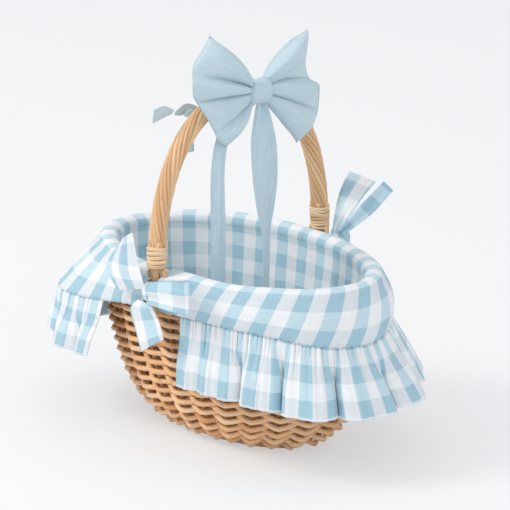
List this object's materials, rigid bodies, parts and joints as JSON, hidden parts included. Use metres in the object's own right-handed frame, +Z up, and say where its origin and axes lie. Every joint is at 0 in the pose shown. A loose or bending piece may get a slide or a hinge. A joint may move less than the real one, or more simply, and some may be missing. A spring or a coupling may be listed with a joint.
{
  "type": "flower girl basket",
  "caption": "Oval woven willow basket with a fixed twisted arch handle, a gathered gingham liner folded over the rim and a ribbon bow with hanging tails.",
  "frame": {"origin": "centre of the flat underside of the foot ring, on the surface that the basket stands on", "axes": "+X along the long axis of the oval, +Y across it in the plane of the handle, +Z up"},
  "size_m": [0.3773, 0.2485, 0.3744],
  "materials": {
    "willow": "peeled willow, satin",
    "handle_willow": "peeled willow, satin",
    "cane": "flat cane, satin",
    "gingham": "woven cotton gingham, matte",
    "bow_cloth": "plain cotton, soft matte",
    "narrow_ribbon": "plain ribbon, soft satin"
  },
  "bodies": {
    "basket": {"base_sticks": "willow", "base_weave": "willow", "bow_knot": "bow_cloth", "bow_loop_left": "bow_cloth", "bow_loop_right": "bow_cloth", "cuff_back": "gingham", "cuff_front": "gingham", "foot_ring": "willow", "handle_binding_left": "cane", "handle_binding_right": "cane", "handle_core": "handle_willow", "handle_foot_rods_left": "handle_willow", "handle_foot_rods_right": "handle_willow", "handle_strands": "handle_willow", "left_tie_knot": "gingham", "left_tie_loop": "gingham", "left_tie_upper": "gingham", "liner_bowl": "gingham", "ribbon_band": "narrow_ribbon", "ribbon_knot": "narrow_ribbon", "ribbon_loop": "narrow_ribbon", "ribbon_tail_left": "narrow_ribbon", "ribbon_tail_right": "narrow_ribbon", "right_tie_knot": "gingham", "right_tie_tail_a": "gingham", "right_tie_tail_b": "gingham", "rim_border": "willow", "ruffle_back": "gingham", "ruffle_front": "gingham", "side_stakes": "willow", "weave_row_01": "willow", "weave_row_02": "willow", "weave_row_03": "willow", "weave_row_04": "willow", "weave_row_05": "willow", "weave_row_06": "willow", "weave_row_07": "willow", "weave_row_08": "willow", "weave_row_09": "willow", "weave_row_10": "willow", "weave_row_11": "willow", "weave_row_12": "willow", "weave_row_13": "willow", "weave_row_14": "willow", "weave_row_15": "willow", "weave_row_16": "willow", "weave_row_17": "willow"},
    "tail_left": {"bow_tail_left": "bow_cloth"},
    "tail_right": {"bow_tail_right": "bow_cloth"},
    "tie_tail": {"left_tie_tail": "gingham"}
  },
  "joints": [
    {"name": "bow_tail_left_swing", "type": "hinge", "parent": "basket", "child": "tail_left", "pos_m": [0.01999, 0.008, 0.2923], "axis": [0, 1, 0], "range_deg": [-22, 36]},
    {"name": "bow_tail_right_swing", "type": "hinge", "parent": "basket", "child": "tail_right", "pos_m": [0.01999, 0.008, 0.2923], "axis": [0, 1, 0], "range_deg": [-28, 36]},
    {"name": "tie_tail_lift", "type": "hinge", "parent": "basket", "child": "tie_tail", "pos_m": [-0.008, -0.1104, 0.137], "axis": [1, 0, 0], "range_deg": [-50, 0]}
  ]
}
